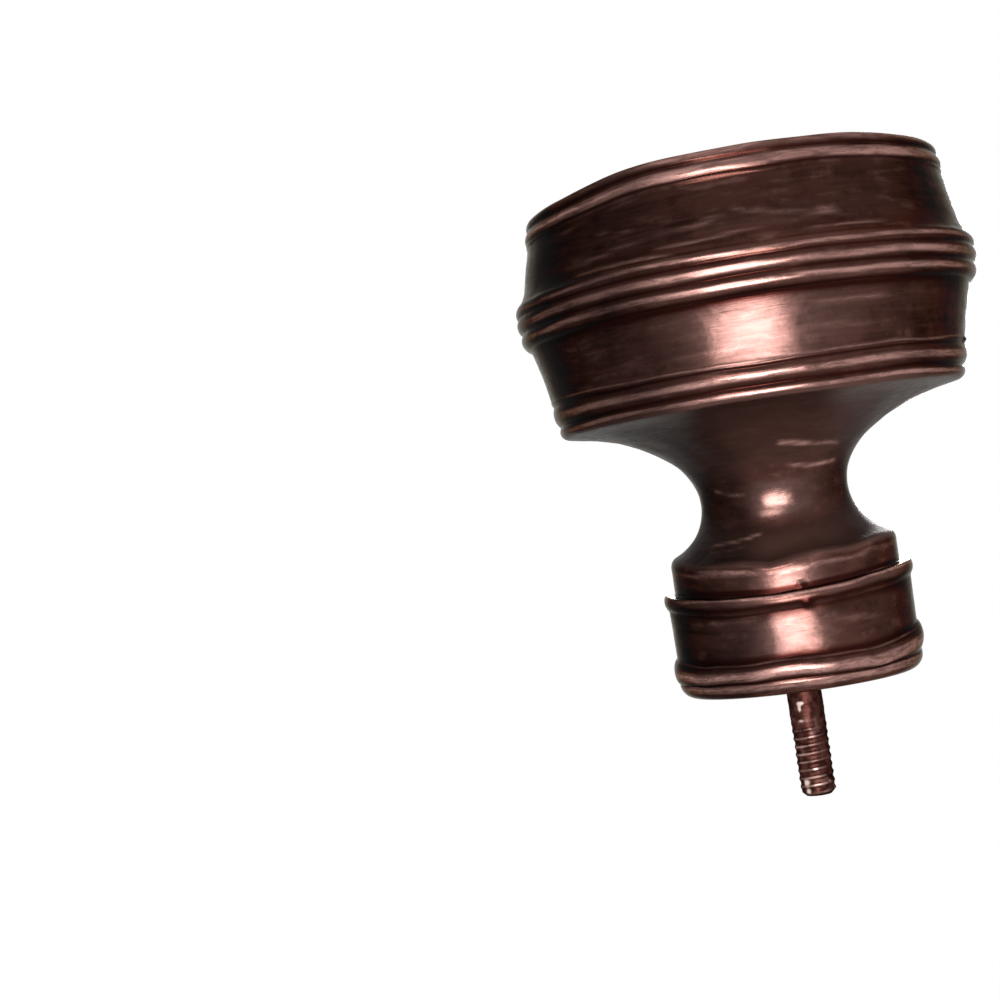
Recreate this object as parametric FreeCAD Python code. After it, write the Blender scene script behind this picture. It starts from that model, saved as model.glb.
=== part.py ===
import FreeCAD, Part
import math
import os

# A curtain pole finial: a drum-shaped head on a waisted neck and a collar, turned as one
# solid, with a threaded stud that screws it to the end of the pole. The solid is a half
# section drawn upwards from the seat and turned about the axis.
#
# Millimetres. The axis of the pole is Z. The origin is the centre of the seat, the flat
# face that butts against the pole's end. The head is above it, and the stud is below it.
#
# Heights are the rise of each stretch of the outline, so they stack. A swell is how far
# the middle of a stretch stands outside its chord, and a hollow how far inside.

# Stud with a No. 10 machine thread, drawn as a plain rod. The exposed end has the thread's
# outside diameter. The end inside the body has its pitch diameter, where the crests of one
# thread fill the grooves of the other.
STUD_DIAMETER = 4.83
STUD_GRIP_DIAMETER = 4.14
STUD_EXPOSED = 15.0
STUD_EMBEDDED = 19.0
STUD_END_CHAMFER = 0.7

# Drilled hole that holds the stud, with a bevelled mouth that is wider than the thread
HOLE_CLEARANCE = 0.05
HOLE_END_ROOM = 1.0
HOLE_MOUTH_CLEARANCE = 0.2
DRILL_POINT_ANGLE = 118.0

# Collar, from the seat up to its shoulder
SEAT_EDGE_ROUND = 1.65
BAND_RADIUS = 16.1
BAND_HEIGHT = 5.5
BAND_TAPER = 0.1
FOOT_BEAD_HEIGHT = 2.6
FOOT_BEAD_SWELL = 0.7
FOOT_GROOVE_DEPTH = 0.05
ROLL_HEIGHT = 3.4
ROLL_SWELL = 0.45
ROLL_STEP = 0.3
ROLL_STEP_HEIGHT = 0.3
LIP_STEP = 0.3
LIP_FOOT_HEIGHT = 0.4
LIP_HEIGHT = 1.65
LIP_SWELL = 0.2
SHOULDER_STEP = 1.1
SHOULDER_HEIGHT = 3.4
SHOULDER_ROUND = 1.0
SHOULDER_ROUND_HEIGHT = 1.6
SHOULDER_ROUND_SWELL = 0.35

# Neck, between a quick cove below and a long sweeping cove above. A cove is part of a
# quarter ellipse that starts upright at the neck, and its turn says how much of it.
NECK_RADIUS = 9.8
LOWER_COVE_HEIGHT = 6.6
LOWER_COVE_TURN = 71.0
UPPER_COVE_HEIGHT = 11.2
UPPER_COVE_TURN = 75.0

# Head, from its back edge up to the end face
WAIST_RADIUS = 27.6
WAIST_HEIGHT = 7.0
WAIST_FLARE = 1.65
WAIST_HOLLOW = 0.15
BACK_EDGE_INSET = 1.25
BACK_BEAD_HEIGHT = 1.6
BACK_BEAD_SWELL = 0.4
BACK_GROOVE_INSET = 0.8
BACK_ROLL_HEIGHT = 2.9
BACK_ROLL_SWELL = 0.45
WALL_FOOT_INSET = 0.25
WALL_FOOT_HEIGHT = 0.7
WALL_FOOT_SWELL = 0.15
MOULDING_STEP = 0.5
MOULDING_STEP_HEIGHT = 0.3
MOULDING_EQUAL_BEADS = 2
MOULDING_BEAD_HEIGHT = 2.05
MOULDING_BEAD_SWELL = 0.4
MOULDING_GROOVE_RISE = 0.3
MOULDING_TOP_BEAD_HEIGHT = 1.75
MOULDING_TOP_FALL = 0.4
CYMA_HEIGHT = 2.1
CYMA_FALL = 0.95
CYMA_HOLLOW = 0.12
UPPER_WALL_HEIGHT = 6.5
UPPER_WALL_TAPER = 1.2
UPPER_WALL_HOLLOW = 0.08
RIM_FOOT_HEIGHT = 0.5
RIM_FOOT_SWELL = 0.12
RIM_BEAD_HEIGHT = 1.75
RIM_BEAD_SWELL = 0.32
RIM_GROOVE_INSET = 0.4
RIM_EDGE_HEIGHT = 1.5
RIM_EDGE_INSET = 0.8
RIM_EDGE_SWELL = 0.5
FACE_CROWN = 1.0

AXIS = FreeCAD.Vector(0, 0, 1)
ORIGIN = FreeCAD.Vector(0, 0, 0)


class Outline:
    """A half section in the XZ plane, drawn as a chain of edges from its first point."""

    def __init__(self, radius, height):
        self.start = FreeCAD.Vector(radius, 0, height)
        self.end = self.start
        self.edges = []

    def add(self, curve, end):
        self.edges.append(curve.toShape())
        self.end = end

    def line(self, radius, rise):
        end = FreeCAD.Vector(radius, 0, self.end.z + rise)
        self.add(Part.LineSegment(self.end, end), end)

    def bow(self, radius, rise, swell):
        """An arc of a circle that stands `swell` outside its chord, or inside if negative."""
        end = FreeCAD.Vector(radius, 0, self.end.z + rise)
        chord = end - self.end
        outwards = FreeCAD.Vector(chord.z, 0, -chord.x).normalize()
        middle = (self.end + end) * 0.5 + outwards * swell
        self.add(Part.Arc(self.end, middle, end), end)

    def cove(self, radius, rise, turn, neck_first):
        """Part of a quarter ellipse that is upright at the neck and turns outwards."""
        end = FreeCAD.Vector(radius, 0, self.end.z + rise)
        neck = self.end if neck_first else end
        edge = end if neck_first else self.end
        reach = (edge.x - neck.x) / (1 - math.cos(math.radians(turn)))
        drop = (edge.z - neck.z) / math.sin(math.radians(turn))
        centre = FreeCAD.Vector(neck.x + reach, 0, neck.z)
        across = centre - FreeCAD.Vector(reach, 0, 0)
        along = centre + FreeCAD.Vector(0, 0, drop)
        major, minor = (across, along) if reach > abs(drop) else (along, across)
        ellipse = Part.Ellipse(major, minor, centre)
        ends = sorted(ellipse.parameter(point) for point in (self.end, end))
        if ends[1] - ends[0] > math.pi:
            ends = [ends[1], ends[0] + 2 * math.pi]
        self.add(Part.ArcOfEllipse(ellipse, ends[0], ends[1]), end)

    def crown(self, rise):
        """A shallow dome that ends on the axis and is level there."""
        dome_radius = (self.end.x ** 2 + rise ** 2) / (2 * rise)
        half_angle = math.asin(self.end.x / dome_radius) / 2
        drop = dome_radius * (1 - math.cos(half_angle))
        end = FreeCAD.Vector(0, 0, self.end.z + rise)
        middle = FreeCAD.Vector(dome_radius * math.sin(half_angle), 0, end.z - drop)
        self.add(Part.Arc(self.end, middle, end), end)

    def turned(self):
        """Close the outline back to its first point and turn it about the axis."""
        closing = Part.LineSegment(self.end, self.start).toShape()
        face = Part.Face(Part.Wire(self.edges + [closing]))
        return face.revolve(ORIGIN, AXIS, 360)


def draw_collar(outline):
    """Foot bead, roll, plain band, lip and shoulder."""
    band_foot = BAND_RADIUS - BAND_TAPER
    outline.bow(BAND_RADIUS - FOOT_GROOVE_DEPTH, FOOT_BEAD_HEIGHT, FOOT_BEAD_SWELL)
    outline.bow(band_foot + ROLL_STEP, ROLL_HEIGHT, ROLL_SWELL)
    outline.line(band_foot, ROLL_STEP_HEIGHT)
    outline.line(BAND_RADIUS, BAND_HEIGHT)
    outline.line(BAND_RADIUS + LIP_STEP, LIP_FOOT_HEIGHT)
    outline.bow(BAND_RADIUS + LIP_STEP, LIP_HEIGHT, LIP_SWELL)
    outline.line(BAND_RADIUS - SHOULDER_STEP, 0)
    outline.line(BAND_RADIUS - SHOULDER_STEP, SHOULDER_HEIGHT)
    neck_foot = BAND_RADIUS - SHOULDER_STEP - SHOULDER_ROUND
    outline.bow(neck_foot, SHOULDER_ROUND_HEIGHT, SHOULDER_ROUND_SWELL)


def draw_neck(outline):
    """The lower cove runs in to the neck, and the upper one sweeps out under the head."""
    outline.cove(NECK_RADIUS, LOWER_COVE_HEIGHT, LOWER_COVE_TURN, neck_first=False)
    outline.cove(WAIST_RADIUS - BACK_EDGE_INSET, UPPER_COVE_HEIGHT, UPPER_COVE_TURN, neck_first=True)


def draw_head(outline):
    """Back beads, flared waist, middle moulding, upper wall, rim and end face."""
    outline.bow(WAIST_RADIUS - BACK_GROOVE_INSET, BACK_BEAD_HEIGHT, BACK_BEAD_SWELL)
    outline.bow(WAIST_RADIUS - WALL_FOOT_INSET, BACK_ROLL_HEIGHT, BACK_ROLL_SWELL)
    outline.bow(WAIST_RADIUS, WALL_FOOT_HEIGHT, WALL_FOOT_SWELL)
    waist_top = WAIST_RADIUS + WAIST_FLARE
    outline.bow(waist_top, WAIST_HEIGHT, -WAIST_HOLLOW)

    radius = waist_top + MOULDING_STEP
    outline.line(radius, MOULDING_STEP_HEIGHT)
    for _ in range(MOULDING_EQUAL_BEADS):
        radius += MOULDING_GROOVE_RISE
        outline.bow(radius, MOULDING_BEAD_HEIGHT, MOULDING_BEAD_SWELL)
    radius -= MOULDING_TOP_FALL
    outline.bow(radius, MOULDING_TOP_BEAD_HEIGHT, MOULDING_BEAD_SWELL)
    radius -= CYMA_FALL
    outline.bow(radius, CYMA_HEIGHT, -CYMA_HOLLOW)
    radius -= UPPER_WALL_TAPER
    outline.bow(radius, UPPER_WALL_HEIGHT, -UPPER_WALL_HOLLOW)

    outline.bow(radius, RIM_FOOT_HEIGHT, RIM_FOOT_SWELL)
    radius -= RIM_GROOVE_INSET
    outline.bow(radius, RIM_BEAD_HEIGHT, RIM_BEAD_SWELL)
    outline.bow(radius - RIM_EDGE_INSET, RIM_EDGE_HEIGHT, RIM_EDGE_SWELL)
    outline.crown(FACE_CROWN)


def finial_body():
    """Collar, neck and head as one turned solid with the stud's drilled hole."""
    hole_radius = STUD_GRIP_DIAMETER / 2 + HOLE_CLEARANCE
    hole_depth = STUD_EMBEDDED + HOLE_END_ROOM
    point_depth = hole_radius / math.tan(math.radians(DRILL_POINT_ANGLE / 2))
    mouth_radius = STUD_DIAMETER / 2 + HOLE_MOUTH_CLEARANCE
    mouth_depth = mouth_radius - hole_radius

    outline = Outline(mouth_radius, 0)
    outline.line(BAND_RADIUS - FOOT_GROOVE_DEPTH - SEAT_EDGE_ROUND, 0)
    draw_collar(outline)
    draw_neck(outline)
    draw_head(outline)
    outline.line(0, hole_depth + point_depth - outline.end.z)
    outline.line(hole_radius, -point_depth)
    outline.line(hole_radius, mouth_depth - hole_depth)
    return outline.turned()


def threaded_stud():
    """The stud, bevelled at both ends. Its exposed end butts against the seat."""
    radius = STUD_DIAMETER / 2
    grip_radius = STUD_GRIP_DIAMETER / 2
    outline = Outline(0, -STUD_EXPOSED)
    outline.line(radius - STUD_END_CHAMFER, 0)
    outline.line(radius, STUD_END_CHAMFER)
    outline.line(radius, STUD_EXPOSED - STUD_END_CHAMFER)
    outline.line(grip_radius, 0)
    outline.line(grip_radius, STUD_EMBEDDED - STUD_END_CHAMFER)
    outline.line(grip_radius - STUD_END_CHAMFER, STUD_END_CHAMFER)
    outline.line(0, 0)
    return outline.turned()


NODES = {
    "finial_body": finial_body(),
    "threaded_stud": threaded_stud(),
}

os.makedirs("parts", exist_ok=True)
for name, shape in NODES.items():
    shape.exportStep(f"parts/{name}.step")
    box = shape.optimalBoundingBox(False, False)
    print(f"{name}: valid {shape.isValid()}, {len(shape.Solids)} solid, {shape.Volume / 1000:.2f} cm3,"
          f" radius {box.XMax:.2f}, z {box.ZMin:.2f} to {box.ZMax:.2f}")
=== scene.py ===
import math

import bmesh
import bpy
import numpy as np
from mathutils import Matrix, Vector, noise


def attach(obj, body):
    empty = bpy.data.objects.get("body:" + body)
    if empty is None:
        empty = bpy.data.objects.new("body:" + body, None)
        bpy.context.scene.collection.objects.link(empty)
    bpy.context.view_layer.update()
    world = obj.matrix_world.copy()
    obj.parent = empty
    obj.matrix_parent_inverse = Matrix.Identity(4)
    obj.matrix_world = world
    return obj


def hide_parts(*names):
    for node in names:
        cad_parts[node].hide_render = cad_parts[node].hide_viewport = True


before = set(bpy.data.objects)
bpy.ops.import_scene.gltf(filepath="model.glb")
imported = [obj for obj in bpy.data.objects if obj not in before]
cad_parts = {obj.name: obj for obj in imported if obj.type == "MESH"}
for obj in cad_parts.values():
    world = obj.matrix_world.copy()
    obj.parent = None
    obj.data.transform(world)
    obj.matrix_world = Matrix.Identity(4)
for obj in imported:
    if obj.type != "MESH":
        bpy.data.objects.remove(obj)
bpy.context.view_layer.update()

# A curtain pole finial in dark brown paint with copper brushed over its mouldings. The body
# is turned again from the half section of its CAD node, with softened edges and the small
# unevenness of a cast and hand-painted piece. The stud gets its thread.
#
# Metres, in the CAD's frame: +Z from the seat towards the head, and the camera looks along
# +Y. Names that end in MM are millimetres. Azimuths are degrees round the axis from the side
# that faces the camera, to the right.

MM = 0.001

# Camera, fitted to the photograph's outlines
CAMERA_PLACE = (0.0, -0.25665, 0.02305)
CAMERA_AIM = (-0.03666, 0.0, 0.03002)
CAMERA_ROLL = math.radians(-8.43)
CAMERA_LENS = 68.49
CAMERA_SENSOR = 36.0
CAMERA_RANGE = (0.01, 50.0)

# Half section, read from the CAD node's seam
SEAM_MM = 0.002
SEAM_DIGITS = 3

# Body: rows along the outline, closer where it bends, and columns round the axis
BODY_ROWS = 334
BODY_COLUMNS = 288
FINE_STEP_MM = 0.05
EDGE_SOFTNESS_MM = 0.11
CREST_WIDTH_MM = 1.1
BEND_CROWDING = 3.2
BEND_LIMIT = 1.0
BEND_BLUR = 5
HOLE_EDGE_MM = 2.5
HOLE_THINNING = 0.2

# How far outside the stud the unevenness and the brushed paint start
UNEVEN_FROM_MM = 0.5
PAINT_FROM_MM = 2.5

# Unevenness all over. It starts above the seat and away from the axis. The mouldings wander up
# and down in wide and close waves: fineness round the axis, and length along the outline in mm.
# Lumps and ripples stand out: length across, and along the outline.
CALM_HEIGHTS_MM = (0.4, 2.5)
CALM_RADII_MM = (3.0, 8.0)
WAVE_MM = 0.16
WIDE_WAVES = (1.7, 7.0)
CLOSE_WAVES = (4.1, 3.0)
CLOSE_WAVE_SHARE = 0.6
CLOSE_WAVE_SHIFT = 5.0
SKIN_MM = -0.03
LUMP_HEIGHT_MM = 0.045
LUMP_LENGTHS_MM = (6.5, 3.2)
RIPPLE_HEIGHT_MM = 0.014
RIPPLE_LENGTHS_MM = (1.9, 0.9)

# The mouldings' own faults. Four heights are where a fault starts, is full, and ends again.
LIP_MM = (10.6, 12.2, 13.9, 15.4)
LIP_RISE_MM = 0.3
LIP_TILT_MM = 0.3
ROLL_MM = (1.5, 3.5, 6.6, 8.6)
ROLL_TILT_MM = 0.9
ROLL_RIGHT_DIP_MM = 0.6
SHOULDER_MM = (14.5, 17.0, 19.0, 21.5)
FACE_MM = (67.2, 67.9)
RIM_MM = (59.0, 65.0)
RIM_SAG_MM = 1.25
RIM_LEFT_MM = (8.0, 24.0)
RIM_RIGHT_SAG_MM = 0.3
RIM_RIGHT_MM = (14.0, 26.0)

# How far the mouldings hang down on the front: heights, and the dips there
FRONT_DIP_MM = (
    (0.6, 2.6, 4.2, 6.0, 12.5, 16.0, 20.0, 26.0, 36.0, 39.0, 41.5, 45.0, 48.5),
    (0.0, 0.6, 1.1, 1.7, 1.4, 1.4, 1.5, 1.9, 0.0, 0.1, 0.7, 0.3, 0.0),
)
FRONT_POWER = 1.5

# How the shoulder's edge waves: azimuths, and how far it lies up in mm
SHOULDER_WAVE = (
    (-62, -50, -38, -20, -8, 4, 18, 34, 48, 62),
    (0.0, -0.2, 0.05, 0.0, -0.4, 0.0, 0.35, -0.1, 0.1, 0.0),
)

# Drops of paint: azimuth, height, half sizes in degrees and mm, and how far they stand out
PAINT_DROPS = (
    (6.4, 14.25, 1.5, 0.35, 0.22), (7.4, 12.0, 2.2, 0.40, 0.22), (78.0, 41.4, 1.8, 0.45, 0.30),
)
DROP_DARKENS_MM = 0.12

# Painted highlight: paler copper paint at the front, where the lamps' highlights fall on the
# waist, band, shoulder, neck and upper wall. Azimuth and height of its middle, half its height
# and strength. The higher the power, the sharper it ends up and down.
HIGHLIGHT_HALF_WIDTH = 23.0
HIGHLIGHT_POWER = 4
PAINTED_HIGHLIGHTS = (
    (3.0, 45.2, 3.8, 0.95), (-5.0, 9.0, 2.6, 0.95), (0.0, 15.6, 2.0, 0.75), (3.0, 26.2, 2.0, 2.4),
    (3.0, 57.6, 1.6, 0.2),
)

# Rings of copper rubbed on the mouldings: height, half width and strength
COPPER_RINGS = (
    (67.0, 0.50, 0.55), (65.0, 0.52, 1.7), (54.05, 0.26, 0.9), (52.1, 0.40, 1.1), (50.15, 0.34, 1.0),
    (41.8, 0.16, 0.6), (39.6, 0.48, 1.1), (37.4, 0.26, 1.1), (17.0, 0.26, 0.6), (13.6, 0.20, 1.0),
    (6.1, 0.16, 0.4), (4.2, 0.66, 2.0), (1.5, 0.60, 1.5),
)
RING_REACH = 3

# Rings of dark paint left in the grooves, and one that darkens the lip's lower half at 12.5 mm:
# height and half width
DARK_RINGS = (
    (66.1, 0.22), (64.1, 0.20), (53.2, 0.22), (51.2, 0.24), (49.1, 0.26), (41.2, 0.22),
    (38.3, 0.35), (36.7, 0.30), (12.5, 0.50), (5.9, 0.20), (2.8, 0.34),
)

# Single brush marks: azimuth and height at both ends, half width and strength. Some are painted
# highlights: the wide one on the neck at 26 mm, the strong one on the rim's top edge at 67.7 mm,
# and those right of the front on the band at 9 to 10 mm and on the waist at 44 to 47 mm.
BRUSH_MARKS_AND_HIGHLIGHTS = (
    (5, 32.2, 26, 31.8, 0.26, 0.9), (24, 31.8, 48, 31.0, 0.22, 0.7), (10, 29.8, 54, 28.9, 0.26, 0.8),
    (-50, 27.6, -20, 27.1, 0.22, 0.7), (-52, 20.4, -8, 22.1, 0.24, 0.8),
    (-50, 19.6, -20, 20.6, 0.20, 0.4), (-50, 17.6, -14, 17.2, 0.25, 0.7),
    (-34, 57.2, -2, 58.4, 0.34, 0.5), (2, 58.9, 30, 57.0, 0.34, 0.5), (-44, 55.6, -14, 55.0, 0.28, 0.7),
    (-30, 43.1, 4, 43.6, 0.26, 0.4), (14, 46.6, 40, 47.2, 0.34, 0.5), (12, 10.4, 44, 9.2, 0.50, 0.35),
    (-42, 10.9, -12, 11.4, 0.24, 0.6), (-40, 60.5, -22, 58.9, 0.25, 0.5),
    (-20, 56.2, 8, 56.6, 0.26, 0.5), (16, 55.7, 40, 56.0, 0.26, 0.5), (12, 44.4, 34, 44.0, 0.40, 0.35),
    (-48, 57.8, -30, 56.6, 0.22, 0.4), (-10, 58.6, 4, 59.4, 0.28, 0.35), (20, 58.0, 34, 58.7, 0.24, 0.4),
    (-10, 26.4, 16, 26.2, 1.3, 0.45), (-18, 67.7, 12, 67.8, 0.7, 2.4), (30, 67.3, 70, 67.0, 0.30, 0.8),
)

# Where a mark fades in and out, in shares of its length
MARK_START = (-0.1, 0.15)
MARK_END = (1.1, 0.75)

# How the copper's lines wander up and down: how far, fineness per radius, and length along
WANDER_MM = 0.25
WANDER_FINENESS = 3.0
WANDER_LENGTH_MM = 9.0

# Painted light and shade: the paint is lighter at the front and darkest on the left, lighter on
# the shoulder and darker on the upper wall. Azimuths and the share there, and heights and the
# share there
SHADING_AZIMUTHS = (-180, -100, -62, -45, -25, -12, 12, 28, 50, 75, 100, 180)
PAINTED_SHADING = (0.80, 0.70, 0.28, 0.30, 0.58, 1.10, 1.35, 1.30, 0.80, 0.66, 0.75, 0.80)
SHADING_HEIGHTS_MM = (12.5, 14.5, 17.5, 19.0, 34.0, 37.0, 56.0, 58.0, 63.0, 64.5)
PAINTED_SHADING_BY_HEIGHT = (1.0, 1.35, 1.35, 1.1, 1.05, 1.0, 1.0, 0.66, 0.66, 1.0)
AXIS_SHADING = 0.8

# How dull the paint is: heights across the neck and its two coves, and the dullness there
DULL_MM = (
    (17.8, 19.0, 20.5, 22.0, 24.5, 27.5, 31.5, 36.6, 37.1),
    (0.0, 1.9, 1.9, 0.9, 0.1, 0.1, 1.0, 1.0, 0.0),
)

# Stud: a No. 10-24 machine thread, worn, painted over and half filled near the seat
THREAD_PITCH_MM = 1.058
THREAD_ROOT_MM = 2.21
THREAD_CREST_MM = 2.34
THREAD_TOP_MM = -0.4
RIDGE_SHARE = 0.82
GRIP_MM = 2.06
STUD_TIP_MM = -15.0
STUD_TOP_MM = 19.0
TIP_BEVEL_MM = 0.65
FILLED_MM = (-8.2, -4.0)
FILLED_SHARE = 0.85
STUD_LUMP_MM = 0.07
STUD_LUMP_FINENESS = (1.6, 0.9)
STUD_COLUMNS = 104
STUD_STEP_MM = 0.075

# How worn the stud's paint is, with painted shade: the worn copper is fainter towards the sides,
# most of all on the right. Azimuths and the share there, and the depths it fades between
WEAR_AND_SHADE_AZIMUTHS = (-180, -90, -50, -10, 25, 50, 90, 180)
WEAR_AND_SHADE_SHARES = (0.8, 0.6, 0.9, 1.0, 0.8, 0.35, 0.5, 0.8)
WORN_DEPTHS = (0.62, 0.05)
WORN_TIP = 0.2

# Bright chips on the stud: azimuth and height, half sizes along both in mm, and strength
CHIPS = (
    (-19, -2.6, 0.50, 0.30, 1.0), (-24, -3.2, 0.26, 0.50, 0.9), (-25, -4.9, 0.48, 0.20, 0.6),
    (0, -11.4, 0.32, 0.17, 0.9), (-40, -13.1, 0.48, 0.45, 1.0), (-37, -14.3, 0.40, 0.42, 0.9),
    (3, -13.5, 0.45, 0.14, 0.4), (44, -13.2, 0.20, 0.30, 0.45), (150, -5.0, 0.40, 0.30, 0.8),
    (100, -9.0, 0.30, 0.22, 0.7),
)

# Colours
BROWN = (0.047, 0.0183, 0.0142, 1)
SOOT = (0.018, 0.0062, 0.0050, 1)
GROOVE = (0.017, 0.0040, 0.0030, 1)
DULL_BROWN = (0.037, 0.0176, 0.0141, 1)
# Pale copper of the painted highlight
PAINTED_HIGHLIGHT = (0.078, 0.0435, 0.0382, 1)
COPPER = (0.34, 0.186, 0.162, 1)
DULL_COPPER = (0.100, 0.048, 0.040, 1)
EDGE_TINT = (0.40, 0.38, 0.34, 1)
THREAD_DARK = (0.024, 0.007, 0.0055, 1)
THREAD_BROWN = (0.065, 0.024, 0.019, 1)
THREAD_COPPER = (0.33, 0.20, 0.175, 1)
BARE_METAL = (0.66, 0.51, 0.46, 1)
THREAD_EDGE_TINT = (0.16, 0.14, 0.12, 1)
WHITE = (1, 1, 1, 1)
PALE = (0.9, 0.9, 0.9, 1)

# Noise of the body's paint. Strokes are drawn out round the axis, with their fineness round
# and across it, and a shift that sets them apart.
LONG_STROKES = {"around": 2.2, "across": 0.9, "detail": 4.0, "roughness": 0.62, "distortion": 0.6}
SHORT_STROKES = {
    "around": 8.0, "across": 1.4, "shift": 31.0, "detail": 4.0, "roughness": 0.65, "distortion": 0.8,
}
HAIRS = {"around": 7.0, "across": 6.0, "shift": 77.0}
BLOTS = {"around": 5.0, "across": 0.8, "shift": 55.0, "roughness": 0.5, "distortion": 0.15}
CLOUDS = {"scale": 130.0, "detail": 5.0, "roughness": 0.68}
LUMPS = {"scale": 420.0, "detail": 2.0}

# Smooth steps of the body's paint: the input where the step starts and ends, and then the
# results there where they aren't 0 and 1
BROWN_BY_CLOUDS = (0.30, 0.60)
BROWN_BY_STROKES = (0.42, 0.66, 0.0, 0.7)
DASHES_BY_BLOTS = (0.50, 0.72)
DASHES_BY_CLOUDS = (0.42, 0.60)
PAINTED_HIGHLIGHT_BY_CLOUDS = (0.25, 0.55, 0.45, 0.85)
DARK_BY_HOLLOWS = (-0.05, -0.15)
COPPER_BY_SHORT_STROKES = (0.30, 0.62, 0.40, 1.0)
COPPER_BY_LONG_STROKES = (0.30, 0.58, 0.45, 1.0)
COPPER_BY_CRESTS = (0.17, 0.34, 0.0, 0.15)
COPPER_BY_MARKS_AND_HIGHLIGHTS = (0.05, 0.95)
COPPER_BY_PAINTED_SHADING = (0.45, 0.95, 0.30, 1.0)
COPPER_WHERE_THICK = (1.0, 1.7, 0.0, 0.9)
PAINT_ROUGHNESS = (0.3, 0.7, 0.20, 0.28)

# Shares of the body's paint, and its finish
DASH_SHARE = 0.8
DULL_SHARE = 0.85
STROKES_SHADE = 0.8
STROKES_MOVE_CRESTS = 0.2
COPPER_ROUGHENS = 0.07
DULL_ROUGHENS = 0.14
PAINT_METALLIC = 0.88
DULL_LESS_METALLIC = -0.32
SPECULAR_LEVEL = 0.1
STROKE_BUMP = 1.5
LUMP_BUMP = (0.00010, 0.35)
BRUSH_BUMP = (0.00002, 0.4)

# Noise, smooth steps and finish of the stud
SPOTS = {"scale": 900.0, "detail": 3.0}
PATCHES = {"scale": 330.0, "detail": 2.0}
SPOTS_WEAR = 0.8
SPOTS_CHIP = 0.6
WORN_STEP = (0.30, 0.95)
WORN_BY_PATCHES = (0.36, 0.62, 0.25, 1.0)
THREAD_BROWN_BY_SPOTS = (0.35, 0.65)
THREAD_COPPER_BY_PATCHES = (0.52, 0.70, 0.0, 0.35)
CHIP_STEP = (0.15, 0.90)
STUD_ROUGHNESS = (0.3, 0.7, 0.38, 0.52)
STUD_METALLIC = 0.9
STUD_BUMP = (0.00008, 0.8)

# Stage: near the object the floor is lit, and further out it glows white
FLOOR_HEIGHT = -0.10
FLOOR_RADIUS = 4.0
FLOOR_SIDES = 64
FLOOR_ROUGHNESS = 0.9
FLOOR_BLEND = (0.12, 0.26, 0.86, 1.0)
WORLD_FILL = 0.25

# Lamps: name, place, half sizes and level. They all face one point.
LAMP_AIM = (0.0, -0.02, 0.03)
LAMPS = (
    ("key", (0.004, -0.262, -0.03), (0.086, 0.038), 1.25),
    ("top", (-0.030, -0.240, 0.074), (0.060, 0.024), 0.48),
    ("back", (0.03, 0.36, 0.10), (0.07, 0.07), 0.8),
)


def facing(place, aim, roll=0.0):
    """Where a camera or lamp goes, so that it looks at aim."""
    look = Vector(aim) - Vector(place)
    turn = look.to_track_quat("-Z", "Y").to_matrix().to_4x4() @ Matrix.Rotation(roll, 4, "Z")
    return Matrix.Translation(place) @ turn


def place_camera():
    camera = bpy.data.objects.new("camera", bpy.data.cameras.new("camera"))
    camera.data.lens = CAMERA_LENS
    camera.data.sensor_width = CAMERA_SENSOR
    camera.data.clip_start, camera.data.clip_end = CAMERA_RANGE
    camera.matrix_world = facing(CAMERA_PLACE, CAMERA_AIM, CAMERA_ROLL)
    bpy.context.scene.collection.objects.link(camera)
    bpy.context.scene.camera = camera


def half_section(node):
    """The outline of a turned CAD node, from the axis at its top to the axis inside.

    Rows of radius and height in mm. They are the mesh's points on the seam, put in order
    along its edges."""
    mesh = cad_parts[node].data
    points = np.array([v.co for v in mesh.vertices]) / MM
    keys = np.round(points, SEAM_DIGITS)
    on_seam = (np.abs(keys[:, 1]) < SEAM_MM) & (keys[:, 0] > -SEAM_MM)
    beside = {}
    for edge in mesh.edges:
        a, b = edge.vertices
        if on_seam[a] and on_seam[b]:
            first = (abs(keys[a, 0]), keys[a, 2])
            second = (abs(keys[b, 0]), keys[b, 2])
            if first != second:
                beside.setdefault(first, set()).add(second)
                beside.setdefault(second, set()).add(first)
    here = max((key for key in beside if key[0] < SEAM_MM), key=lambda key: key[1])
    chain = [here]
    while True:
        onward = [key for key in beside[here] if key not in chain]
        if not onward:
            return np.array(chain)
        here = min(onward, key=lambda key: math.dist(key, here))
        chain.append(here)


def blurred(values, sigma):
    """Gaussian blur of evenly spaced rows, whose ends repeat."""
    reach = int(4 * sigma) + 1
    kernel = np.exp(-0.5 * (np.arange(-reach, reach + 1) / sigma) ** 2)
    kernel /= kernel.sum()
    padded = np.pad(values, (reach, reach), mode="edge")
    return np.convolve(padded, kernel, mode="valid")


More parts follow.
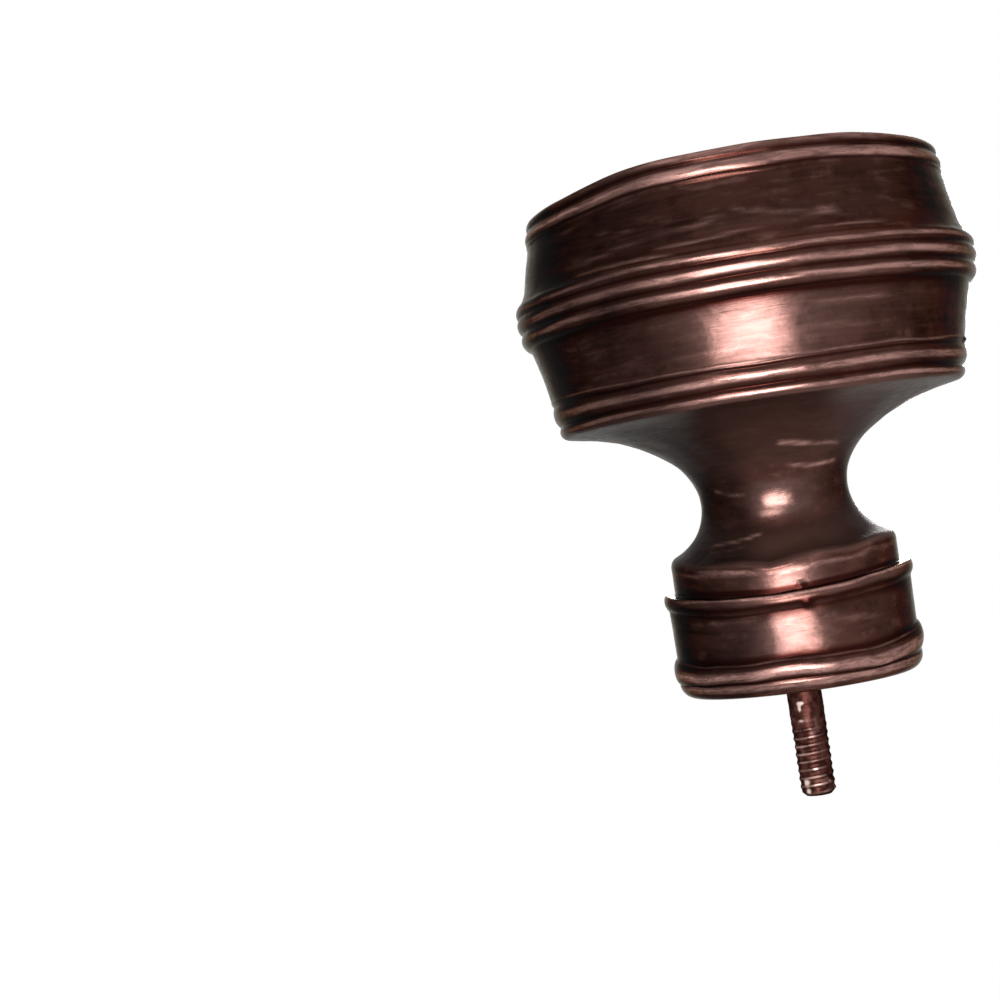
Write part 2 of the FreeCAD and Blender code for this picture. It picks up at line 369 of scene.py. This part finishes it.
def rows_along(outline, rows):
    """Rows of the body, closest where the outline bends.

    For each its radius, height, length along the outline and how proud it stands, in mm."""
    steps = np.hypot(*np.diff(outline, axis=0).T)
    length = np.concatenate([[0], np.cumsum(steps)])
    even = np.arange(0, length[-1], FINE_STEP_MM)
    radius = np.interp(even, length, outline[:, 0])
    height = np.interp(even, length, outline[:, 1])
    soft_radius = blurred(radius, EDGE_SOFTNESS_MM / FINE_STEP_MM)
    soft_height = blurred(height, EDGE_SOFTNESS_MM / FINE_STEP_MM)
    soft_radius[0] = soft_radius[-1] = 0
    soft_height[0] = height[0]
    soft_height[-1] = height[-1]

    slope_r = np.gradient(soft_radius, FINE_STEP_MM)
    slope_z = np.gradient(soft_height, FINE_STEP_MM)
    bend = np.abs(np.gradient(np.unwrap(np.arctan2(slope_z, slope_r)), FINE_STEP_MM))
    wide_r = blurred(radius, CREST_WIDTH_MM / FINE_STEP_MM)
    wide_z = blurred(height, CREST_WIDTH_MM / FINE_STEP_MM)
    proud = (soft_radius - wide_r) * -slope_z + (soft_height - wide_z) * slope_r

    density = 1 + BEND_CROWDING * np.minimum(blurred(bend, BEND_BLUR), BEND_LIMIT)
    density[radius < HOLE_EDGE_MM] *= HOLE_THINNING
    share = np.concatenate([[0], np.cumsum((density[1:] + density[:-1]) / 2)])
    picks = np.interp(np.linspace(0, share[-1], rows), share, even)
    return tuple(np.interp(picks, even, column) for column in (soft_radius, soft_height, even, proud))


def smoothly(x, low, high):
    """A smooth step from 0 at low to 1 at high."""
    t = min(max((x - low) / (high - low), 0.0), 1.0)
    return t * t * (3 - 2 * t)


def window(x, edges):
    """0 outside the first and last edge, 1 between the middle two, smooth between."""
    start, full, fades, end = edges
    t = min(max(min((x - start) / (full - start), (end - x) / (end - fades)), 0.0), 1.0)
    return t * t * (3 - 2 * t)


def angles_round(columns):
    return np.arange(columns) * 2 * math.pi / columns


def azimuth_of(angle):
    """Degrees from the side that faces the camera, to the right."""
    return (math.degrees(angle) + 270.0) % 360.0 - 180.0


def dropped(height, azimuth):
    """How far a drop of paint stands out here, in mm."""
    stands = 0.0
    for drop_azimuth, drop_height, wide, tall, proud in PAINT_DROPS:
        off = ((azimuth - drop_azimuth) / wide) ** 2 + ((height - drop_height) / tall) ** 2
        stands += proud * math.exp(-off)
    return stands


def wave_noise(around, along, waves, shift=0.0):
    fineness, length = waves
    return noise.noise(around * fineness + Vector((shift, 0, along / length)))


def lump_noise(x, y, along, lengths):
    across, up = lengths
    return noise.noise(Vector((x / across, y / across, along / up)))


def uneven(radius, height, along, angle):
    """How far the cast and painted surface strays from the turned outline here, in mm.

    Two numbers: outwards and upwards."""
    around = Vector((math.cos(angle), math.sin(angle), 0))
    x = radius * around.x
    y = radius * around.y
    left = max(0.0, -around.x)
    right = max(0.0, around.x)
    front = max(0.0, -around.y)
    azimuth = azimuth_of(angle)
    amount = smoothly(height, *CALM_HEIGHTS_MM) * smoothly(radius, *CALM_RADII_MM)

    out = SKIN_MM
    out += LUMP_HEIGHT_MM * lump_noise(x, y, along, LUMP_LENGTHS_MM)
    out += RIPPLE_HEIGHT_MM * lump_noise(x, y, along, RIPPLE_LENGTHS_MM)
    out += dropped(height, azimuth)

    wave = wave_noise(around, along, WIDE_WAVES)
    wave += CLOSE_WAVE_SHARE * wave_noise(around, along, CLOSE_WAVES, CLOSE_WAVE_SHIFT)
    up = WAVE_MM * wave
    up += (LIP_RISE_MM + LIP_TILT_MM * around.x) * window(height, LIP_MM)
    up += window(height, SHOULDER_MM) * float(np.interp(azimuth, *SHOULDER_WAVE))
    up -= front ** FRONT_POWER * float(np.interp(height, *FRONT_DIP_MM))
    # Twice right times front is 1 halfway between the right and the front.
    roll_drop = ROLL_TILT_MM * left + ROLL_RIGHT_DIP_MM * 2 * right * front
    up -= roll_drop * window(height, ROLL_MM)
    up *= 1 - smoothly(height, *FACE_MM)
    sag = RIM_SAG_MM * smoothly(-x, *RIM_LEFT_MM) + RIM_RIGHT_SAG_MM * smoothly(x, *RIM_RIGHT_MM)
    up -= sag * smoothly(height, *RIM_MM)
    return out * amount, up * amount


def copper_and_highlights_at(height, azimuth, wander):
    """How much copper the brush left here, with the painted highlights, from 0 to about 1."""
    amount = 0.0
    for ring, half_width, strength in COPPER_RINGS:
        off = (height - ring + WANDER_MM * wander) / half_width
        if abs(off) < RING_REACH:
            amount += strength * math.exp(-off * off)
    for start, low, end, high, half_width, strength in BRUSH_MARKS_AND_HIGHLIGHTS:
        share = (azimuth - start) / (end - start)
        if MARK_START[0] < share < MARK_END[0]:
            off = (height - low - (high - low) * share + WANDER_MM * wander) / half_width
            taper = smoothly(share, *MARK_START) * smoothly(share, *MARK_END)
            amount += strength * taper * math.exp(-off * off)
    return amount


def grid_mesh(name, points, poles):
    """A closed mesh from rows of points round the axis, in mm.

    The poles are the heights where the axis meets it, before the first row and after the last."""
    rows, columns, _ = points.shape
    first, last = [(0, 0, pole * MM) for pole in poles]
    vertices = [first] + [tuple(p) for p in (points * MM).reshape(-1, 3)] + [last]
    end = len(vertices) - 1
    faces = []
    for c in range(columns):
        d = (c + 1) % columns
        faces.append((0, 1 + c, 1 + d))
        for r in range(rows - 1):
            a = 1 + r * columns
            b = a + columns
            faces.append((a + c, b + c, b + d, a + d))
        a = 1 + (rows - 1) * columns
        faces.append((a + c, end, a + d))
    mesh = bpy.data.meshes.new(name)
    mesh.from_pydata(vertices, [], faces)
    mesh.shade_smooth()
    mesh.update()
    return mesh


def add_attribute(mesh, name, grid, first=0.0, last=0.0):
    """A number for each vertex of a grid mesh: for its rows, and for the poles around them."""
    attribute = mesh.attributes.new(name, "FLOAT", "POINT")
    values = np.concatenate([[first], np.ravel(grid), [last]])
    attribute.data.foreach_set("value", values.astype(np.float32))


def show(name, mesh, node):
    piece = bpy.data.objects.new(name, mesh)
    bpy.context.scene.collection.objects.link(piece)
    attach(piece, "root")
    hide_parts(node)
    return piece


def painted_highlight_over(heights, azimuths):
    """How strong the painted highlight is at each row and column."""
    total = 0.0
    for azimuth, middle, half, strength in PAINTED_HIGHLIGHTS:
        high = strength * np.exp(-(np.abs(heights - middle) / half) ** HIGHLIGHT_POWER)
        total = total + np.outer(high, np.exp(-((azimuths - azimuth) / HIGHLIGHT_HALF_WIDTH) ** 2))
    return total


def make_body():
    radius, height, along, proud = rows_along(half_section("finial_body"), BODY_ROWS)
    inner = slice(1, -1)
    heights = height[inner]
    angles = angles_round(BODY_COLUMNS)
    azimuths = np.array([azimuth_of(angle) for angle in angles])
    size = (BODY_ROWS - 2, BODY_COLUMNS)
    points = np.zeros((*size, 3))
    copper = np.zeros(size)
    drops = np.zeros(size)
    for row, (r, z, s) in enumerate(zip(radius[inner], heights, along[inner])):
        for column, angle in enumerate(angles):
            out, up = uneven(r, z, s, angle) if r > GRIP_MM + UNEVEN_FROM_MM else (0, 0)
            points[row, column] = ((r + out) * math.cos(angle), (r + out) * math.sin(angle), z + up)
            if r > GRIP_MM + PAINT_FROM_MM:
                across = math.cos(angle) * WANDER_FINENESS
                deep = math.sin(angle) * WANDER_FINENESS
                wander = noise.noise(Vector((across, deep, s / WANDER_LENGTH_MM)))
                copper[row, column] = copper_and_highlights_at(z, azimuths[column], wander)
                drops[row, column] = dropped(z, azimuths[column])
    mesh = grid_mesh("finial_body_turned", points, (height[0], height[-1]))

    # Painted light and shade round the axis and along it
    shading_grid = np.outer(np.interp(heights, SHADING_HEIGHTS_MM, PAINTED_SHADING_BY_HEIGHT),
                     np.interp(azimuths, SHADING_AZIMUTHS, PAINTED_SHADING))
    groove = sum(np.exp(-((heights - ring) / half_width) ** 2) for ring, half_width in DARK_RINGS)
    dull = np.interp(heights, *DULL_MM)
    add_attribute(mesh, "along", np.repeat(along[inner], BODY_COLUMNS), along[0], along[-1])
    add_attribute(mesh, "proud", np.repeat(proud[inner], BODY_COLUMNS), proud[0], proud[-1])
    add_attribute(mesh, "copper", copper)
    add_attribute(mesh, "groove", groove[:, None] + drops / DROP_DARKENS_MM)
    add_attribute(mesh, "painted_highlight", painted_highlight_over(heights, azimuths))
    add_attribute(mesh, "dull", np.repeat(dull, BODY_COLUMNS))
    add_attribute(mesh, "painted_shading", shading_grid, AXIS_SHADING, AXIS_SHADING)
    return show("finial_body_turned", mesh, "finial_body")


def thread_at(height, angle):
    """The stud's radius in mm, and the wear of its paint with painted shade, from 0 to 1.

    The right-handed thread runs out under the seat and into the bevelled tip."""
    if height > THREAD_TOP_MM:
        narrower = (THREAD_CREST_MM - GRIP_MM) * smoothly(height, THREAD_TOP_MM, 0.0)
        return THREAD_CREST_MM - narrower, 0.0
    turn = (height / THREAD_PITCH_MM - angle / (2 * math.pi)) % 1.0
    wave = smoothly(abs(turn - 0.5) * 2, 0.0, RIDGE_SHARE)
    filled = FILLED_SHARE * smoothly(height, *FILLED_MM)
    depth = (THREAD_CREST_MM - THREAD_ROOT_MM) * wave * (1 - filled)
    around, along = STUD_LUMP_FINENESS
    place = Vector((math.cos(angle) * around, math.sin(angle) * around, height * along))
    radius = THREAD_CREST_MM - depth - abs(STUD_LUMP_MM * noise.noise(place))
    tip = STUD_TIP_MM + TIP_BEVEL_MM
    if height < tip:
        radius = min(radius, THREAD_CREST_MM - (tip - height))
    # Painted shade: the wear shows less towards the sides, most of all on the right
    share = float(np.interp(azimuth_of(angle), WEAR_AND_SHADE_AZIMUTHS, WEAR_AND_SHADE_SHARES))
    return radius, smoothly(wave, *WORN_DEPTHS) * (1 - filled) * share


def chipped(height, azimuth):
    """How much bright metal shows through the stud's paint here, from 0 to 1."""
    amount = 0.0
    for chip_azimuth, chip_height, wide, tall, strength in CHIPS:
        across = math.radians(azimuth - chip_azimuth) * THREAD_CREST_MM / wide
        amount += strength * math.exp(-across ** 2 - ((height - chip_height) / tall) ** 2)
    return amount


def make_stud():
    threaded = np.arange(STUD_TIP_MM, 0.0, STUD_STEP_MM)
    heights = np.concatenate([threaded, [0.0, STUD_TOP_MM - TIP_BEVEL_MM, STUD_TOP_MM]])
    size = (len(heights), STUD_COLUMNS)
    points = np.zeros((*size, 3))
    worn_and_shaded = np.zeros(size)
    chips = np.zeros(size)
    for row, z in enumerate(heights):
        for column, angle in enumerate(angles_round(STUD_COLUMNS)):
            if z >= 0:
                r = GRIP_MM - TIP_BEVEL_MM * (z == STUD_TOP_MM)
            else:
                r, worn_and_shaded[row, column] = thread_at(z, angle)
                chips[row, column] = chipped(z, azimuth_of(angle))
            points[row, column] = (r * math.cos(angle), r * math.sin(angle), z)
    mesh = grid_mesh("threaded_stud_thread", points, (STUD_TIP_MM, STUD_TOP_MM))
    # Wear of the stud's paint, with painted shade on the sides
    add_attribute(mesh, "worn_and_shaded", worn_and_shaded, WORN_TIP)
    add_attribute(mesh, "chips", chips)
    return show("threaded_stud_thread", mesh, "threaded_stud")


def outward(piece):
    """Turns the faces outwards. The body's rows start at its top, and the stud's at its tip."""
    work = bmesh.new()
    work.from_mesh(piece.data)
    bmesh.ops.recalc_face_normals(work, faces=work.faces)
    work.to_mesh(piece.data)
    work.free()


class Nodes:
    """Short calls for a node tree."""

    def __init__(self, tree):
        self.tree = tree
        self.shader = tree.nodes.get("Principled BSDF")

    def new(self, kind, **settings):
        node = self.tree.nodes.new(kind)
        for key, value in settings.items():
            setattr(node, key, value)
        return node

    def feed(self, socket, value):
        if isinstance(value, bpy.types.NodeSocket):
            self.tree.links.new(value, socket)
        else:
            socket.default_value = value

    def place(self):
        return self.new("ShaderNodeTexCoord").outputs["Object"]

    def attribute(self, name):
        return self.new("ShaderNodeAttribute", attribute_name=name).outputs["Fac"]

    def math(self, operation, *values, clamp=False):
        node = self.new("ShaderNodeMath", operation=operation, use_clamp=clamp)
        for socket, value in zip(node.inputs, values):
            self.feed(socket, value)
        return node.outputs[0]

    def vector(self, operation, first, second):
        node = self.new("ShaderNodeVectorMath", operation=operation)
        self.feed(node.inputs[0], first)
        self.feed(node.inputs[1], second)
        return node.outputs[0]

    def scaled(self, vector, share):
        node = self.new("ShaderNodeVectorMath", operation="SCALE")
        self.feed(node.inputs[0], vector)
        self.feed(node.inputs["Scale"], share)
        return node.outputs[0]

    def swung(self, value, noise_value, amount):
        """The value, moved up and down by a noise."""
        swing = self.math("SUBTRACT", noise_value, 0.5)
        return self.math("MULTIPLY_ADD", swing, amount, value)

    def ramp(self, value, low, high, to_low=0.0, to_high=1.0):
        """A smooth step from to_low to to_high as value goes from low to high."""
        node = self.new("ShaderNodeMapRange", interpolation_type="SMOOTHSTEP")
        for socket, given in zip(node.inputs, (value, low, high, to_low, to_high)):
            self.feed(socket, given)
        return node.outputs[0]

    def noise(self, place, scale=1.0, detail=3.0, roughness=0.55, distortion=0.0):
        node = self.new("ShaderNodeTexNoise")
        self.feed(node.inputs["Vector"], place)
        node.inputs["Scale"].default_value = scale
        node.inputs["Detail"].default_value = detail
        node.inputs["Roughness"].default_value = roughness
        node.inputs["Distortion"].default_value = distortion
        return node.outputs["Fac"]

    def strokes(self, along, around, across, shift=0.0, **settings):
        """Noise drawn out round the axis. around and across are its fineness."""
        flat = self.vector("MULTIPLY", self.place(), (1, 1, 0))
        unit = self.new("ShaderNodeVectorMath", operation="NORMALIZE")
        self.feed(unit.inputs[0], flat)
        lift = self.new("ShaderNodeCombineXYZ")
        self.feed(lift.inputs["Z"], self.math("MULTIPLY_ADD", along, across, shift))
        place = self.vector("ADD", self.scaled(unit.outputs[0], around), lift.outputs[0])
        return self.noise(place, **settings)

    def mix(self, share, first, second):
        """Two colours mixed. Sockets 6 and 7 are the Mix node's colours, and output 2 the result."""
        node = self.new("ShaderNodeMix", data_type="RGBA")
        self.feed(node.inputs[0], share)
        self.feed(node.inputs[6], first)
        self.feed(node.inputs[7], second)
        return node.outputs[2]

    def bump(self, height, distance, strength, below=None):
        node = self.new("ShaderNodeBump")
        node.inputs["Strength"].default_value = strength
        node.inputs["Distance"].default_value = distance
        self.feed(node.inputs["Height"], height)
        if below is not None:
            self.feed(node.inputs["Normal"], below)
        return node.outputs[0]


def new_material(name):
    material = bpy.data.materials.new(name)
    material.use_nodes = True
    return material, Nodes(material.node_tree)


def paint_body():
    material, n = new_material("aged_copper_paint")
    along = n.attribute("along")
    proud = n.attribute("proud")
    copper = n.attribute("copper")
    painted_shading = n.attribute("painted_shading")
    dull = n.attribute("dull")
    long_strokes = n.strokes(along, **LONG_STROKES)
    short_strokes = n.strokes(along, **SHORT_STROKES)
    hairs = n.strokes(along, **HAIRS)
    blots = n.strokes(along, **BLOTS)
    clouds = n.noise(n.place(), **CLOUDS)

    base = n.mix(n.ramp(clouds, *BROWN_BY_CLOUDS), SOOT, BROWN)
    base = n.mix(n.ramp(long_strokes, *BROWN_BY_STROKES), base, BROWN)
    dashes = n.math("MULTIPLY", n.ramp(blots, *DASHES_BY_BLOTS), n.ramp(clouds, *DASHES_BY_CLOUDS))
    base = n.mix(n.math("MULTIPLY", dashes, DASH_SHARE), base, DULL_COPPER)
    # Painted highlight: paler copper where the lamps' highlights fall at the front
    painted_highlight = n.math("MULTIPLY", n.attribute("painted_highlight"), n.ramp(clouds, *PAINTED_HIGHLIGHT_BY_CLOUDS))
    base = n.mix(painted_highlight, base, PAINTED_HIGHLIGHT)
    dark = n.math("MAXIMUM", n.ramp(proud, *DARK_BY_HOLLOWS), n.attribute("groove"), clamp=True)
    base = n.mix(dark, base, GROOVE)
    base = n.mix(n.math("MULTIPLY", dull, DULL_SHARE), base, DULL_BROWN)
    # Painted light and shade, swung a little by the long strokes
    base = n.scaled(base, n.swung(painted_shading, long_strokes, STROKES_SHADE))

    patchy = n.math("MULTIPLY", n.ramp(short_strokes, *COPPER_BY_SHORT_STROKES),
                    n.ramp(long_strokes, *COPPER_BY_LONG_STROKES))
    crests = n.ramp(n.swung(proud, long_strokes, STROKES_MOVE_CRESTS), *COPPER_BY_CRESTS)
    # The marks include painted highlights, and the copper fades where the painted shading is dark,
    # except where it is thick.
    brushed_and_highlights = n.math("MULTIPLY", n.ramp(copper, *COPPER_BY_MARKS_AND_HIGHLIGHTS), patchy)
    allowed = n.math("MAXIMUM", n.ramp(painted_shading, *COPPER_BY_PAINTED_SHADING), n.ramp(copper, *COPPER_WHERE_THICK))
    copper_and_painted_light = n.math("MULTIPLY", n.math("MAXIMUM", brushed_and_highlights, crests), allowed)
    n.feed(n.shader.inputs["Base Color"], n.mix(copper_and_painted_light, base, COPPER))

    rough = n.ramp(short_strokes, *PAINT_ROUGHNESS)
    rough = n.math("MULTIPLY_ADD", copper_and_painted_light, COPPER_ROUGHENS, rough)
    rough = n.math("MULTIPLY_ADD", dull, DULL_ROUGHENS, rough)
    n.feed(n.shader.inputs["Roughness"], rough)
    metallic = n.math("MULTIPLY_ADD", dull, DULL_LESS_METALLIC, PAINT_METALLIC)
    n.feed(n.shader.inputs["Metallic"], metallic)
    n.shader.inputs["Specular IOR Level"].default_value = SPECULAR_LEVEL
    n.shader.inputs["Specular Tint"].default_value = EDGE_TINT

    lumps = n.bump(n.noise(n.place(), **LUMPS), *LUMP_BUMP)
    brush = n.math("MULTIPLY_ADD", short_strokes, STROKE_BUMP, hairs)
    n.feed(n.shader.inputs["Normal"], n.bump(brush, *BRUSH_BUMP, lumps))
    return material


def paint_stud():
    material, n = new_material("coppered_steel")
    spots = n.noise(n.place(), **SPOTS)
    patches = n.noise(n.place(), **PATCHES)
    # Wear of the copper, with painted shade on the sides
    worn_and_shaded = n.ramp(n.swung(n.attribute("worn_and_shaded"), spots, SPOTS_WEAR), *WORN_STEP)
    worn_and_shaded = n.math("MULTIPLY", worn_and_shaded, n.ramp(patches, *WORN_BY_PATCHES))
    chips = n.ramp(n.swung(n.attribute("chips"), spots, SPOTS_CHIP), *CHIP_STEP)

    base = n.mix(n.ramp(spots, *THREAD_BROWN_BY_SPOTS), THREAD_DARK, THREAD_BROWN)
    base = n.mix(n.ramp(patches, *THREAD_COPPER_BY_PATCHES), base, THREAD_COPPER)
    base = n.mix(worn_and_shaded, base, THREAD_COPPER)
    base = n.mix(chips, base, BARE_METAL)
    n.feed(n.shader.inputs["Base Color"], base)
    n.feed(n.shader.inputs["Roughness"], n.ramp(spots, *STUD_ROUGHNESS))
    n.shader.inputs["Metallic"].default_value = STUD_METALLIC
    n.shader.inputs["Specular IOR Level"].default_value = SPECULAR_LEVEL
    n.shader.inputs["Specular Tint"].default_value = THREAD_EDGE_TINT
    n.feed(n.shader.inputs["Normal"], n.bump(spots, *STUD_BUMP))
    return material


def seen_rays(n):
    """1 for camera, glossy and transmission rays, so that metal shows the background too."""
    rays = n.new("ShaderNodeLightPath")
    seen = n.math("MAXIMUM", rays.outputs["Is Camera Ray"], rays.outputs["Is Glossy Ray"])
    return n.math("MAXIMUM", seen, rays.outputs["Is Transmission Ray"])


def make_floor():
    material, n = new_material("pale_floor")
    n.shader.inputs["Base Color"].default_value = PALE
    n.shader.inputs["Roughness"].default_value = FLOOR_ROUGHNESS
    n.shader.inputs["Specular IOR Level"].default_value = 0.0
    glow = n.new("ShaderNodeEmission")
    mixed = n.new("ShaderNodeMixShader")
    away = n.new("ShaderNodeVectorMath", operation="LENGTH")
    n.feed(away.inputs[0], n.place())
    share = n.ramp(away.outputs["Value"], *FLOOR_BLEND)
    n.feed(mixed.inputs[0], n.math("MULTIPLY", seen_rays(n), share))
    n.feed(mixed.inputs[1], n.shader.outputs[0])
    n.feed(mixed.inputs[2], glow.outputs[0])
    n.feed(n.tree.nodes["Material Output"].inputs["Surface"], mixed.outputs[0])

    ring = []
    for angle in angles_round(FLOOR_SIDES):
        ring.append((math.cos(angle) * FLOOR_RADIUS, math.sin(angle) * FLOOR_RADIUS, FLOOR_HEIGHT))
    mesh = bpy.data.meshes.new("floor")
    mesh.from_pydata(ring, [], [tuple(range(FLOOR_SIDES))])
    mesh.materials.append(material)
    floor = bpy.data.objects.new("floor", mesh)
    bpy.context.scene.collection.objects.link(floor)


def make_world():
    """White where it is seen, and a dim fill light elsewhere."""
    world = bpy.data.worlds.new("studio")
    world.use_nodes = True
    bpy.context.scene.world = world
    n = Nodes(world.node_tree)
    background = n.tree.nodes["Background"]
    background.inputs["Color"].default_value = WHITE
    strength = n.math("MULTIPLY_ADD", seen_rays(n), 1 - WORLD_FILL, WORLD_FILL)
    n.feed(background.inputs["Strength"], strength)


def add_lamp(name, place, size, level):
    """A soft lamp that lights a white card where it aims to the level, where 1 is white."""
    half_width, half_height = size
    distance = (Vector(LAMP_AIM) - Vector(place)).length
    lamp = bpy.data.lights.new(name, "AREA")
    lamp.shape = "ELLIPSE"
    lamp.size = 2 * half_width
    lamp.size_y = 2 * half_height
    lamp.energy = level * math.pi * math.pi * (distance * distance + half_width * half_height)
    lamp_object = bpy.data.objects.new(name, lamp)
    lamp_object.matrix_world = facing(place, LAMP_AIM)
    lamp_object.visible_camera = False
    bpy.context.scene.collection.objects.link(lamp_object)


place_camera()
make_floor()
make_world()
for lamp_settings in LAMPS:
    add_lamp(*lamp_settings)

body = make_body()
stud = make_stud()
outward(body)
outward(stud)
body.data.materials.append(paint_body())
stud.data.materials.append(paint_stud())
bpy.context.scene.view_settings.view_transform = "Standard"
